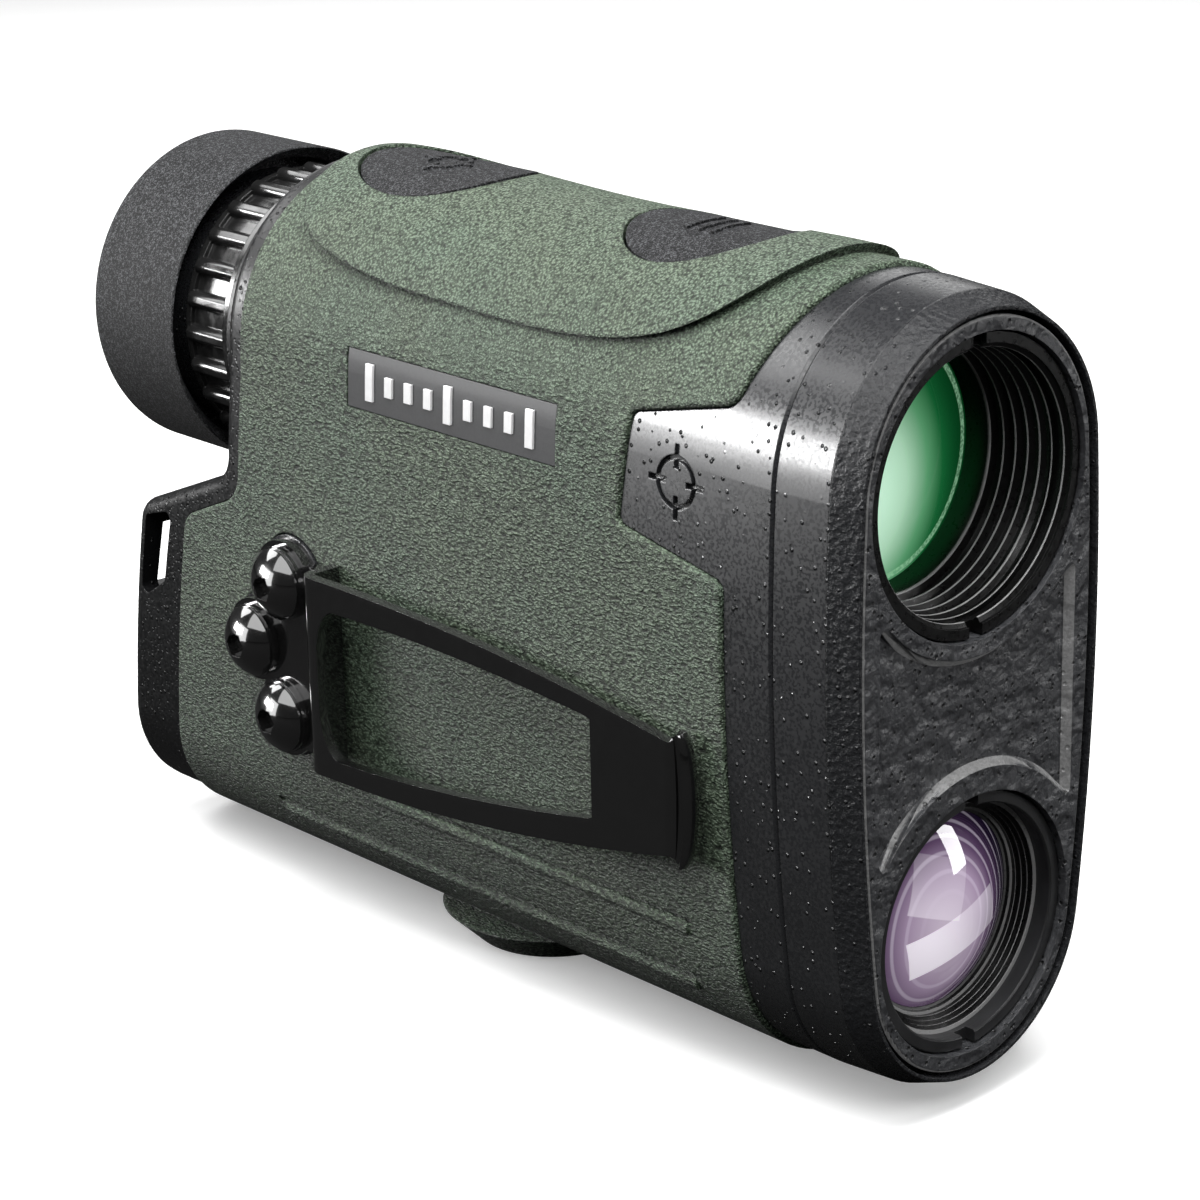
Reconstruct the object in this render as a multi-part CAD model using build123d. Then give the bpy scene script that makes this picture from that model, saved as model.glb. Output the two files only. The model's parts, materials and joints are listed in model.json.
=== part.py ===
from build123d import *
import math
import os

# Compact 7x25 laser rangefinder, millimetres.
# The objectives look along -Y, the eyepiece looks along +Y, the belt clip is on -X, +Z is up.
# Stations along the body are counted from a point SOCKET_Y ahead of the tripod socket.
# Every part is moved by that much at the end, so the origin is the mouth of the socket.

# Body outline across the sighting axis: two shallow flanks closed by a crown arc and a belly arc.
HALF_WIDTH = 18.0
SIDE_RADIUS = 260.0
WIDEST_Z = 48.0
CROWN_Z = 80.3
BELLY_Z = 1.8

# Axes and stations along the body.
OPTIC_Z = 62.0
RECEIVER_Z = 18.9
FACE_Y = -54.5
BEVEL_Y = -51.4
SEAM_Y = -45.0
ARMOUR_FRONT_Y = -39.0
ARMOUR_REAR_Y = 32.6
REAR_Y = 35.6
EYECUP_END_Y = 59.5

# Skins and fits.
WALL = 1.8
ARMOUR_RECESS = 0.8
ARMOUR_PROUD = 0.5
SKIN_GAP = 0.03
FIT = 0.03

# Moving pieces: half travel of the eyepiece cell, and the pin that drives it.
FOCUS_TRAVEL = 1.0
PIN_Y = 41.3

# Push buttons on the crown: name, station, half length, half width.
MEASURE_BUTTON = (18.8, 10.2, 8.3)
MENU_BUTTON = (-20.5, 9.0, 8.5)

# Battery bay, tilted so that its cap lies in the sloping rear face.
TAIL_TOP = (53.4, 40.0)
TAIL_FOOT = (59.4, 16.5)
BATTERY_RADIUS = 7.8
BATTERY_LENGTH = 27.0
CAP_RADIUS = 9.6

# Belt clip: one pressed strip on three button-head screws.
CLIP_SCREWS = ((24.6, 39.5), (29.8, 31.9), (25.2, 24.5))
CLIP_SEAT_X = -18.75
CLIP_THICKNESS = 1.2
CLIP_BEND_Y = 16.5
CLIP_ARM_X = -23.3
CLIP_TIP_X = -20.4
CLIP_HINGE_X = -21.4
CLIP_LOW_Z = 21.3
CLIP_HIGH_Z = 42.8
CLIP_TIP_Y = -34.6

# Case screws: (x, z) under the face plate and (x, z) in the rear bezel.
CAP_SCREWS = ((-12.0, 44.0), (12.0, 44.0), (-12.0, 36.0), (12.0, 36.0))
BEZEL_SCREWS = ((-10.0, 10.0), (10.0, 10.0))

# Side badge in the armour: front, rear, foot and top.
BADGE = (-16.7, 14.6, 60.2, 66.4)

# Collar of the bezel round the eyepiece, and the laser under the beam splitter.
COLLAR_RADIUS = 16.6
LASER_Y = -9.0

# Tripod socket, 1/4-20.
SOCKET_Y = 4.0
SOCKET_RADIUS = 2.55
SOCKET_DEPTH = 8.0
BOSS_RADIUS = 7.0


# ---------------------------------------------------------------- helpers

def end_radius(reach):
    """Radius of the arc that closes the outline at this reach from the widest level."""
    flank = SIDE_RADIUS - HALF_WIDTH
    return (SIDE_RADIUS**2 - flank**2 - reach**2) / (2 * (SIDE_RADIUS - reach))


def outline(y, grow=0.0):
    """Closed egg-shaped wire across the body at station y, moved outward by grow."""
    flank = SIDE_RADIUS - HALF_WIDTH
    radius = SIDE_RADIUS + grow
    crown_centre = CROWN_Z - end_radius(CROWN_Z - WIDEST_Z)
    belly_centre = BELLY_Z + end_radius(WIDEST_Z - BELLY_Z)
    high = math.atan2(crown_centre - WIDEST_Z, flank)
    low = math.atan2(belly_centre - WIDEST_Z, flank)

    def flank_point(side, angle):
        across = radius * math.cos(angle) - flank
        return (side * across, y, WIDEST_Z + radius * math.sin(angle))

    crown = (0, y, CROWN_Z + grow)
    belly = (0, y, BELLY_Z - grow)
    return Wire([
        ThreePointArc(flank_point(-1, high), crown, flank_point(1, high)),
        ThreePointArc(flank_point(1, high), flank_point(1, 0), flank_point(1, low)),
        ThreePointArc(flank_point(1, low), belly, flank_point(-1, low)),
        ThreePointArc(flank_point(-1, low), flank_point(-1, 0), flank_point(-1, high)),
    ])


def block(grow, start, end):
    """Straight length of the body outline between two stations."""
    return extrude(Face(outline(start, grow)), end - start, dir=(0, 1, 0))


def tapered(start, grow_start, end, grow_end):
    """Length of the body whose outline changes evenly from one station to the next."""
    return Solid.make_loft([outline(start, grow_start), outline(end, grow_end)], ruled=True)


def panel(corners):
    """Face in the YZ plane from (y, z, corner radius) triples."""
    face = Face(Wire.make_polygon([(0, y, z) for y, z, radius in corners]))
    for y, z, radius in corners:
        if radius:
            corner = face.vertices().sort_by_distance((0, y, z))[0]
            face = face.fillet_2d(radius, [corner])
    return face


def across(face, x_start=-40.0, x_end=40.0):
    """Prism of a YZ face between two x planes."""
    return extrude(face.moved(Location((x_start, 0, 0))), x_end - x_start, dir=(1, 0, 0))


def rod(radius, start, end, z=OPTIC_Z, x=0.0):
    """Cylinder along Y."""
    return Pos(x, (start + end) / 2, z) * Rot(90, 0, 0) * Cylinder(radius, end - start)


def tube(outer, inner, start, end, z=OPTIC_Z, x=0.0):
    """Tube along Y."""
    return rod(outer, start, end, z, x) - rod(inner, start - 1, end + 1, z, x)


def turned(profile, z=OPTIC_Z):
    """Solid of revolution about Y from (y, radius) points."""
    face = Face(Wire.make_polygon([(0, y, z + radius) for y, radius in profile]))
    return revolve(face, Axis((0, 0, z), (0, 1, 0)), 360)


def brick(x0, x1, y0, y1, z0, z1):
    """Box between two corners."""
    return Pos((x0 + x1) / 2, (y0 + y1) / 2, (z0 + z1) / 2) * Box(x1 - x0, y1 - y0, z1 - z0)


def post(radius, z0, z1, x=0.0, y=0.0):
    """Cylinder along Z."""
    return Pos(x, y, (z0 + z1) / 2) * Cylinder(radius, z1 - z0)


def stud(radius, x0, x1, y, z):
    """Cylinder along X."""
    return Pos((x0 + x1) / 2, y, z) * Rot(0, 90, 0) * Cylinder(radius, x1 - x0)


def oval(station, grow, z0, z1, button):
    """Elliptical prism along Z on a button's centre."""
    centre, half_length, half_width = button
    shape = Ellipse(half_width + grow, half_length + grow)
    return extrude(Pos(0, centre + station, z0) * shape, z1 - z0)


def lens(radius, front, rear, front_curve=0.0, rear_curve=0.0, z=OPTIC_Z):
    """Lens on the Y direction: edge from front to rear, positive curves bulge outward."""
    front_sag = front_curve - math.sqrt(front_curve**2 - radius**2) if front_curve else 0.0
    rear_sag = rear_curve - math.sqrt(rear_curve**2 - radius**2) if rear_curve else 0.0
    body = rod(radius, front - front_sag, rear + rear_sag, z)
    if front_curve:
        body = body & (Pos(0, front - front_sag + front_curve, z) * Sphere(front_curve))
    if rear_curve:
        body = body & (Pos(0, rear + rear_sag - rear_curve, z) * Sphere(rear_curve))
    return body


def edges_at_y(shape, y, reach=0.02):
    """Edges lying in the plane across the body at station y."""
    return shape.edges().filter_by_position(Axis.Y, y - reach, y + reach)


# ---------------------------------------------------------------- side panels

def tail_y(z):
    """Station of the sloping rear face at level z."""
    slope = (TAIL_FOOT[0] - TAIL_TOP[0]) / (TAIL_TOP[1] - TAIL_FOOT[1])
    return TAIL_TOP[0] + (TAIL_TOP[1] - z) * slope


def body_side():
    """Side view of the whole case behind the cap seam."""
    return panel([
        (SEAM_Y, -10.0, 0), (SEAM_Y, 95.0, 0), (REAR_Y - 0.3, 95.0, 0), (REAR_Y, 60.0, 0),
        (REAR_Y + 1.1, 48.3, 3.5), (tail_y(41.7), 41.7, 3.5), (tail_y(2.0), 2.0, 10.0),
        (46.0, -10.0, 0),
    ])


def inner_side():
    """Side view of the hollow of the case."""
    rear = REAR_Y - 2.2
    return panel([
        (SEAM_Y - 1, -10.0, 0), (SEAM_Y - 1, 95.0, 0), (rear, 95.0, 0), (rear, 46.0, 0),
        (tail_y(39.5) - 2.0, 39.5, 2.0), (tail_y(3.0) - 2.0, 3.0, 6.0), (44.0, -10.0, 0),
    ])


def skin_side(shift=0.0):
    """Side view of everything ahead of the armour's rear edge, moved rearward by shift."""
    edge = ARMOUR_REAR_Y + shift
    return panel([
        (SEAM_Y - 1, -10.0, 0), (SEAM_Y - 1, 95.0, 0), (edge - 0.4, 95.0, 0), (edge, 60.0, 0),
        (edge + 1.4, 46.4, 4.5), (edge + 11.2, 42.3, 3.0), (edge + 24.0, -10.0, 0),
    ])


def wing_side(grow=0.0):
    """Side view of the bare front of the chassis with its wing."""
    front = ARMOUR_FRONT_Y + grow
    return panel([
        (SEAM_Y - 1, -10.0, 0), (front, -10.0, 0), (front, 53.9 - grow, 1.2),
        (-25.2 + grow, 56.7 - grow, 1.0), (-26.6 + grow, 67.4 + grow, 1.0),
        (front, 70.0 + grow, 2.0), (front - 3.2, 82.0, 0), (front - 3.2, 95.0, 0),
        (SEAM_Y - 1, 95.0, 0),
    ])


def pad_side():
    """Side view of the raised finger pad on the crown."""
    edge = Wire([
        Spline((0, 31.0, 84.0), (0, 27.3, 77.3), (0, 21.5, 75.0), (0, 0.0, 72.7),
               (0, -20.0, 73.1), (0, -29.0, 75.2), (0, -38.5, 84.0)),
        Line((0, -38.5, 84.0), (0, 31.0, 84.0)),
    ])
    return Face(edge)


# ---------------------------------------------------------------- case

def front_cap():
    """Nose of the case with its bevelled rim and the web that carries both barrels."""
    rim_grow = -1.5
    mid_grow = -0.4
    web_front, web_rear = -52.0, -49.5
    cap = tapered(FACE_Y, rim_grow, BEVEL_Y, mid_grow) + tapered(BEVEL_Y, mid_grow, SEAM_Y, 0.0)
    cap -= block(-1.85, FACE_Y - 1, web_front)
    cap -= block(-2.6, web_rear, SEAM_Y + 1)
    cap -= rod(14.45, FACE_Y, SEAM_Y)
    cap -= rod(13.05, FACE_Y, SEAM_Y, RECEIVER_Z)
    cap -= block(1.0, SEAM_Y - 0.3, SEAM_Y) - tapered(SEAM_Y - 0.3, 0.0, SEAM_Y, -0.3)
    for x, z in CAP_SCREWS:
        cap -= rod(1.15, FACE_Y, SEAM_Y, z, x)
        cap -= rod(2.1, web_front - 1, web_front + 1.3, z, x)
    return cap


def face_plate():
    """Inset front plate with the two openings and the sunk field between them."""
    front, rear = FACE_Y + 0.3, -52.02
    plate = block(-2.3, front, rear)
    plate = fillet(edges_at_y(plate, front), 0.35)
    plate -= rod(14.55, FACE_Y, rear + 1)
    plate -= rod(13.15, FACE_Y, rear + 1, RECEIVER_Z)
    return plate - extrude(field_outline(front), 0.8, dir=(0, 1, 0), taper=40)


def field_outline(y):
    """Face of the sunk field, bounded by an arc round each opening."""
    side, top, bottom = 13.5, 51.8, 28.2
    upper, lower = 16.1, 15.6
    upper_x = math.sqrt(upper**2 - (OPTIC_Z - top)**2)
    lower_x = math.sqrt(lower**2 - (bottom - RECEIVER_Z)**2)
    edge = Wire([
        ThreePointArc((-upper_x, y, top), (0, y, OPTIC_Z - upper), (upper_x, y, top)),
        Line((upper_x, y, top), (side, y, top)),
        Line((side, y, top), (side, y, bottom)),
        Line((side, y, bottom), (lower_x, y, bottom)),
        ThreePointArc((lower_x, y, bottom), (0, y, RECEIVER_Z + lower), (-lower_x, y, bottom)),
        Line((-lower_x, y, bottom), (-side, y, bottom)),
        Line((-side, y, bottom), (-side, y, top)),
        Line((-side, y, top), (-upper_x, y, top)),
    ])
    face = Face(edge)
    corners = face.vertices().filter_by(lambda v: abs(v.X) > side - 0.1)
    return face.fillet_2d(0.9, corners)


def objective_ring():
    """Threaded retaining ring of the objective with two spanner notches."""
    ring = turned([(-53.7, 13.3), (-53.4, 13.3), (-53.1, 12.85), (-52.95, 12.85), (-52.5, 13.3),
                   (-51.72, 13.3), (-51.72, 14.4), (-53.6, 14.4), (-53.7, 14.3)])
    return ring - spanner_notches(OPTIC_Z, 12.8, 14.4)


def receiver_ring():
    """Threaded retaining ring of the receiver lens with two spanner notches."""
    ring = tube(13.0, 11.7, -53.5, -51.72, RECEIVER_Z)
    ring = chamfer(edges_at_y(ring, -53.5), 0.15)
    return ring - spanner_notches(RECEIVER_Z, 11.7, 13.0)


def spanner_notches(z, inner, outer):
    """Cutters for a pair of square notches above and below an axis."""
    middle = (inner + outer) / 2
    half = (outer - inner) / 2 + 0.4
    cutters = brick(-0.9, 0.9, FACE_Y, -52.3, z + middle - half, z + middle + half)
    return cutters + brick(-0.9, 0.9, FACE_Y, -52.3, z - middle - half, z - middle + half)


def main_housing():
    """Chassis tube: carries the optics, the electronics, the armour and the clip."""
    shell = block(0.0, SEAM_Y + 0.02, 62) & across(body_side()) & across(skin_side())
    recess = across(skin_side(2.0)) - across(wing_side()) - block(-ARMOUR_RECESS, -50, 62)
    shell -= recess
    hollow = block(-ARMOUR_RECESS - WALL, SEAM_Y - 1, 62) & across(inner_side())
    shell -= hollow
    shell += housing_bosses(hollow)
    shell -= block(1.0, SEAM_Y, SEAM_Y + 0.3) - tapered(SEAM_Y, -0.3, SEAM_Y + 0.3, 0.0)
    shell -= rod(14.65, 22.0, 45.0)
    for button in (MEASURE_BUTTON, MENU_BUTTON):
        shell -= oval(0, -1.2, 70, 90, button)
    shell -= post(5.5 + FIT, -3, 9.6, 0, SOCKET_Y)
    for y, z in CLIP_SCREWS:
        shell -= stud(2.8 + FIT, -25, -13.2, y, z)
    for x, z in CAP_SCREWS:
        shell -= rod(0.85, SEAM_Y - 1, SEAM_Y + 7.5, z, x)
    for x, z in BEZEL_SCREWS:
        shell -= rod(0.88, 42.0, 60.0, z, x)
    for x, y in prism_screw_places():
        shell -= post(0.85, 48, 51, x, y)
    for y, z in board_screw_places():
        shell -= stud(0.78, 11, 14, y, z)
    shell -= post(3.7, 44, 51, 0, LASER_Y)
    shell -= brick(11.6, 20, -5, 5, 46, 53)
    return shell - reticle_mark()


def housing_bosses(hollow):
    """Material inside the hollow and under it: screw bosses, prism shelf, clip seat, tripod boss."""
    inside = brick(-8.5, 8.5, SOCKET_Y - 8.5, SOCKET_Y + 8.5, -2, 9.6)
    inside += brick(-20, 20, -22, 12, 48.4, 50.2)
    for x, z in CAP_SCREWS:
        side = math.copysign(1, x)
        low, high = sorted((side * 9.8, side * 20))
        inside += brick(low, high, SEAM_Y + 0.02, SEAM_Y + 8, z - 2.3, z + 2.3)
    for x, z in BEZEL_SCREWS:
        inside += rod(2.7, 40.0, 70.0, z, x) & across(skin_side())
    for y, z in CLIP_SCREWS:
        inside += stud(4.2, -22, -13.2, y, z)
    for y, z in board_screw_places():
        inside += stud(2.2, 11.72, 20, y, z)
    inside = inside & hollow
    under = post(BOSS_RADIUS, 0.02, 6, 0, SOCKET_Y)
    under = fillet(edges_at_z(under, 0.02), 0.8)
    return inside + (under - block(-2.0, -20, 30)) + (clip_seat() - block(-2.0, 0, 60))


def edges_at_z(shape, z, reach=0.02):
    """Edges lying in the level plane at z."""
    return shape.edges().filter_by_position(Axis.Z, z - reach, z + reach)


def reticle_mark():
    """Sunk aiming mark on each wing: a ring and four short bars."""
    cutters = None
    y, z = -32.6, 62.0
    for x0, x1 in ((-25.0, -17.1), (17.1, 25.0)):
        mark = stud(2.6, x0, x1, y, z) - stud(2.1, x0 - 1, x1 + 1, y, z)
        for turn in range(4):
            bar = brick(x0, x1, y + 1.3, y + 3.6, z - 0.28, z + 0.28)
            mark += bar.rotate(Axis((0, y, z), (1, 0, 0)), 90 * turn)
        cutters = mark if cutters is None else cutters + mark
    return cutters


def clip_plate_outline(grow):
    """Side view of the clip's foot: a disc round each screw joined to the bend."""
    foot = None
    for y, z in CLIP_SCREWS:
        disc = Plane.YZ * Pos(y, z) * Circle(4.5 + grow)
        foot = disc if foot is None else foot + disc
    middle = Plane.YZ * Pos(23.6, 32.0) * Rectangle(9.0 + grow, 17.0 + 2 * grow)
    return foot + middle


def clip_plate_shape(x, depth, grow):
    """Solid of the clip's foot outline standing on the plane at x."""
    return extrude(clip_plate_outline(grow).moved(Location((x, 0, 0))), depth, dir=(1, 0, 0))


def clip_seat():
    """Flat pad of the chassis that the clip's foot sits on."""
    return clip_plate_shape(CLIP_SEAT_X + 0.02, 3.5, 0.3)


def armour():
    """Rubber armour bonded into the recess of the chassis, with the raised finger pad."""
    zone = across(skin_side(-0.1)) - across(wing_side(0.1))
    skin = block(ARMOUR_PROUD, -50, 62) & zone
    skin = fillet(skin.edges().filter_by(lambda edge: edge.geom_type != GeomType.LINE), 0.45)
    pad = finger_pad() & across(pad_side()) & zone
    skin = skin + pad
    skin -= block(-ARMOUR_RECESS + SKIN_GAP, -60, 70)
    for button in (MEASURE_BUTTON, MENU_BUTTON):
        skin -= oval(0, 0.3, 60, 90, button)
    skin += boss_boot()
    skin -= block(-ARMOUR_RECESS + SKIN_GAP, -60, 70)
    skin -= post(BOSS_RADIUS + 0.1, -5, 10, 0, SOCKET_Y)
    skin -= clip_plate_shape(-22, 10, 0.5)
    skin -= badge_pocket()
    cutters, lips = side_creases()
    for lip in lips:
        skin += lip
    for groove in cutters:
        skin -= groove
    return skin


def boss_boot():
    """Thickened armour round the tripod boss, flaring out to the belly."""
    return Pos(0, SOCKET_Y + 1.4, 1.75) * Cone(8.8, 12.2, 3.3)


def finger_pad():
    """Crown of the armour, rising towards the rear."""
    stations = ((-45.0, 0.9), (-20.0, 1.1), (-3.0, 0.9), (18.0, 1.6), (38.0, 0.9))
    return Solid.make_loft([outline(y, grow) for y, grow in stations])


def badge_pocket():
    """Cutter for the sunk seat of the side badges."""
    start, end, foot, top = BADGE
    return brick(-25, -13.0, start, end, foot, top) + brick(13.0, 25, start, end, foot, top)


def side_creases():
    """Two long creases pressed into each flank of the armour: cutters and raised lips."""
    cutters = []
    lips = []
    for z, start, end in ((17.6, -33.2, 15.5), (11.0, -32.5, 33.5)):
        for side in (-1, 1):
            surface = flank_reach(z)
            wedge = Wire.make_polygon([
                (side * (surface + 1.0), start, z + 0.9), (side * (surface - 0.6), start, z),
                (side * (surface + 1.0), start, z - 0.4),
            ])
            cutters.append(extrude(Face(wedge), end - start, dir=(0, 1, 0)))
            under = z - 0.75
            lips.append(rod(0.7, start + 0.8, end - 0.8, under, side * (flank_reach(under) - 0.25)))
    return cutters, lips


def flank_reach(z):
    """How far the armour's flank stands out at level z."""
    return HALF_WIDTH + ARMOUR_PROUD - flank_drop(z)


def flank_drop(z):
    """How far the outline at level z lies inside the widest level, low on the flank."""
    belly_centre = BELLY_Z + end_radius(WIDEST_Z - BELLY_Z)
    radius = end_radius(WIDEST_Z - BELLY_Z)
    return HALF_WIDTH - math.sqrt(radius**2 - (z - belly_centre)**2)


def name_badge():
    """Blank badge plate in each side of the armour, drilled for its bars."""
    start, end, foot, top = BADGE
    plate = block(ARMOUR_PROUD - 0.1, start + 0.1, end - 0.1)
    plate -= block(-ARMOUR_RECESS + 2 * SKIN_GAP, start, end)
    plate -= brick(-13, 13, start, end, 0, 90)
    plate = plate & brick(-25, 25, start, end, foot + 0.1, top - 0.1)
    return plate - badge_bars(0.05)


def badge_bars(grow):
    """Range-scale bars across the badge, used as a cutter and as the inlay."""
    start, end, foot, top = BADGE
    middle_z = (foot + top) / 2
    count = 9
    pitch = 3.0
    first = (start + end) / 2 - pitch * (count - 1) / 2
    bars = None
    for index in range(count):
        y = first + pitch * index
        half = 1.9 if index % 4 == 0 else 1.0
        low, high = middle_z - half - grow, middle_z + half + grow
        bar = brick(-25, 25, y - 0.55 - grow, y + 0.55 + grow, low, high)
        bars = bar if bars is None else bars + bar
    return bars & (block(ARMOUR_PROUD + 0.15, start, end) - block(-0.2, start - 1, end + 1))


def badge_inlay():
    """Pale raised bars set into the badges."""
    return badge_bars(0.0)


def rear_bezel():
    """Textured rear shell round the eyepiece and the battery bay."""
    body = block(0.0, -20, 64) & across(body_side())
    rear_edges = body.edges().filter_by(lambda edge: edge.geom_type != GeomType.LINE)
    rear_edges = rear_edges.filter_by_position(Axis.Y, REAR_Y - 1, 70)
    body = fillet(rear_edges, 1.5)
    body -= rod(COLLAR_RADIUS + 0.05, REAR_Y + 0.1, 43.5) + rod(18.7, 43.5, 70)
    shell = body - across(skin_side(0.03))
    hollow = block(-ARMOUR_RECESS - WALL, -20, 62) & across(inner_side())
    hollow -= rod(18.7, REAR_Y - 1.0, 43.5) + rod(20.4, 43.4, 70)
    shell -= hollow
    corners = brick(-20, -11.4, 42, 62, 27, 46) + brick(11.4, 20, 42, 62, 27, 46)
    for x, z in BEZEL_SCREWS:
        corners += rod(2.7, 40.0, 70.0, z, x)
    shell += (corners & hollow) - across(skin_side(0.03))
    shell += tube(COLLAR_RADIUS, 13.05, REAR_Y - 1, REAR_Y + 1) - across(skin_side(0.03))
    shell -= rod(13.05, 20, 60)
    shell -= in_bay(Cylinder(CAP_RADIUS + 0.15, 8))
    for side in (-1, 1):
        shell -= lanyard_passage(side)
    for x, z in BEZEL_SCREWS:
        shell -= rod(1.15, 30, 70, z, x) + rod(1.95, 57.4, 70, z, x)
    return shell


def lanyard_passage(side):
    """Slot in the flank of the tail that turns the corner and leaves by the rear face."""
    slot = panel([(46.7, 42.0, 0.8), (tail_y(40.6) - 1.7, 40.6, 0.8),
                  (tail_y(30.0) - 1.7, 30.0, 0.8), (49.3, 33.2, 0.8)])
    flank = across(slot, *sorted((side * 12.6, side * 25.0)))
    rear = brick(*sorted((side * 12.6, side * 15.4)), 50.0, 62.0, 31.0, 39.0)
    return flank + rear


def in_bay(shape):
    """Shape built about +Z, moved so that +Z points out of the battery bay."""
    run = TAIL_FOOT[0] - TAIL_TOP[0]
    drop = TAIL_TOP[1] - TAIL_FOOT[1]
    tilt = math.degrees(math.atan2(run, drop))
    middle = ((TAIL_TOP[0] + TAIL_FOOT[0]) / 2, (TAIL_TOP[1] + TAIL_FOOT[1]) / 2)
    return Pos(0, middle[0], middle[1]) * Rot(-90 + tilt, 0, 0) * shape


# ---------------------------------------------------------------- objective group

def objective_tube():
    """Baffled barrel of the objective, open to the lens pocket behind."""
    bore = [(-51.7, 12.76), (-51.57, 12.76), (-51.1, 13.1)]
    for index in range(1, 5):
        y = -51.65 + 1.4 * index
        radius = 12.76 - 0.09 * index
        bore += [(y - 0.5, 13.1), (y - 0.08, radius), (y + 0.08, radius), (y + 0.5, 13.1)]
    bore += [(-44.9, 13.0), (-44.5, 12.2), (-41.5, 12.2), (-41.5, 12.52), (-34.0, 12.52)]
    barrel = turned(bore + [(-34.0, 14.4), (-51.7, 14.4)])
    return barrel - tube(15.0, 13.66, -51.0, -50.1)


def objective_lens():
    """Achromat of 25 mm, convex to the front."""
    return lens(12.5, -41.3, -37.5, 46.0)


def objective_lock_ring():
    """Ring that holds the objective lens against its shoulder."""
    return tube(12.5, 11.2, -37.45, -35.9) + tube(12.5, 12.2, -37.47, -37.4)


def objective_seal():
    """O-ring between the objective barrel and the cap."""
    return Pos(0, -50.55, OPTIC_Z) * Rot(90, 0, 0) * Torus(14.05, 0.37)


# ---------------------------------------------------------------- receiver group

def receiver_barrel():
    """Stepped barrel of the receiver lens, closing towards the detector."""
    bore = []
    for index in range(5):
        front, radius = -51.7 + 0.48 * index, 11.3 - 0.3 * index
        bore += [(front, radius), (front + 0.48, radius)]
    bore += [(-49.3, 9.8), (-43.0, 9.8), (-43.0, 8.6), (-32.0, 4.3), (-30.0, 4.3)]
    barrel = turned(bore + [(-30.0, 7.5), (-41.0, 13.0), (-51.7, 13.0)], RECEIVER_Z)
    return barrel - tube(14.0, 12.26, -51.0, -50.1, RECEIVER_Z)


def receiver_lens():
    """Strongly convex lens that gathers the returned pulse."""
    return lens(9.75, -49.25, -45.6, 17.0, 0.0, RECEIVER_Z)


def receiver_lock_ring():
    """Ring behind the receiver lens."""
    return tube(9.75, 8.7, -45.55, -43.05, RECEIVER_Z)


def receiver_seal():
    """O-ring between the receiver barrel and the cap."""
    return Pos(0, -50.55, RECEIVER_Z) * Rot(90, 0, 0) * Torus(12.65, 0.37)


def detector():
    """Avalanche photodiode in its can, with four leads."""
    can = rod(4.1, -29.9, -26.6, RECEIVER_Z) + rod(4.9, -26.6, -25.6, RECEIVER_Z)
    for x, z in ((-1.8, -1.8), (1.8, -1.8), (-1.8, 1.8), (1.8, 1.8)):
        can += rod(0.25, -25.6, -24.6, RECEIVER_Z + z, x)
    return can


def detector_board():
    """Small circuit board behind the photodiode."""
    board = brick(-8.0, 8.0, -24.55, -23.35, RECEIVER_Z - 7.5, RECEIVER_Z + 8.5)
    for x in (-6.0, -2.0, 2.0):
        board += brick(x - 0.9, x + 1.3, -23.35, -22.5, RECEIVER_Z + 2.0, RECEIVER_Z + 4.4)
    return board


# ---------------------------------------------------------------- prism group

def prism_holder():
    """Frame that carries both prisms, open on top."""
    frame = brick(-9.8, 9.8, -20.0, 10.0, 50.25, 72.3) - brick(-8.3, 8.3, -18.5, 8.5, 52.3, 73)
    frame += brick(-5.0, 5.0, -20.0, -18.5, 72.0, 73.95) + brick(-5.0, 5.0, 8.5, 10.0, 72.0, 73.95)
    frame -= rod(7.5, -21, 11)
    frame -= post(3.0, 49, 53, 0, LASER_Y)
    for x, y in prism_screw_places():
        frame -= post(0.82, 49, 53, x, y)
    return frame


def prism_screw_places():
    """Plan positions of the prism frame's screws."""
    return [(x, y) for x in (-6.8, 6.8) for y in (-16.5, 6.5)]


def prism_front():
    """Half-penta prism, with the beam splitter for the laser."""
    side = panel([(-18.2, 53.0, 0), (-18.2, 71.2, 0), (-9.6, 71.2, 0), (-1.4, 53.0, 0)])
    return across(side, -8.2, 8.2)


def prism_rear():
    """Roof prism that turns the picture upright."""
    side = panel([(8.2, 53.0, 0), (8.2, 69.0, 0), (6.0, 71.2, 0), (-9.0, 71.2, 0), (-0.8, 53.0, 0)])
    return across(side, -8.2, 8.2)


def prism_screws():
    """Four screws that hold the prism frame to the shelf."""
    screws = [post(1.5, 46.9, 48.35, x, y) + post(0.8, 48.3, 52.0, x, y)
              for x, y in prism_screw_places()]
    return Compound(screws)


def laser_diode():
    """Pulsed laser diode under the beam splitter, firing upward."""
    can = post(2.7, 46.0, 50.6, 0, LASER_Y) + post(3.6, 44.8, 46.0, 0, LASER_Y)
    for x in (-1.2, 0.0, 1.2):
        can += post(0.22, 42.2, 44.8, x, LASER_Y)
    return can


def display_module():
    """Frame of the in-view display at the focal plane."""
    return brick(-10.5, 10.5, 11.8, 14.2, 53.2, 72.4) - brick(-7.2, 7.2, 11, 15, 56.6, 67.4)


def display_glass():
    """Transparent display panel."""
    return brick(-7.17, 7.17, 12.3, 13.7, 56.63, 67.37)


# ---------------------------------------------------------------- eyepiece group

def eyepiece_tube():
    """Fixed tube of the eyepiece, flanged behind the bezel, slotted for the focus pin."""
    body = tube(13.0, 11.23, 23.6, 54.6) + tube(14.6, 11.23, 30.6, REAR_Y - 2.25)
    return body - brick(-0.95, 0.95, PIN_Y - FOCUS_TRAVEL - 1.0, PIN_Y + FOCUS_TRAVEL + 1.0,
                        72, 77)


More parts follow.
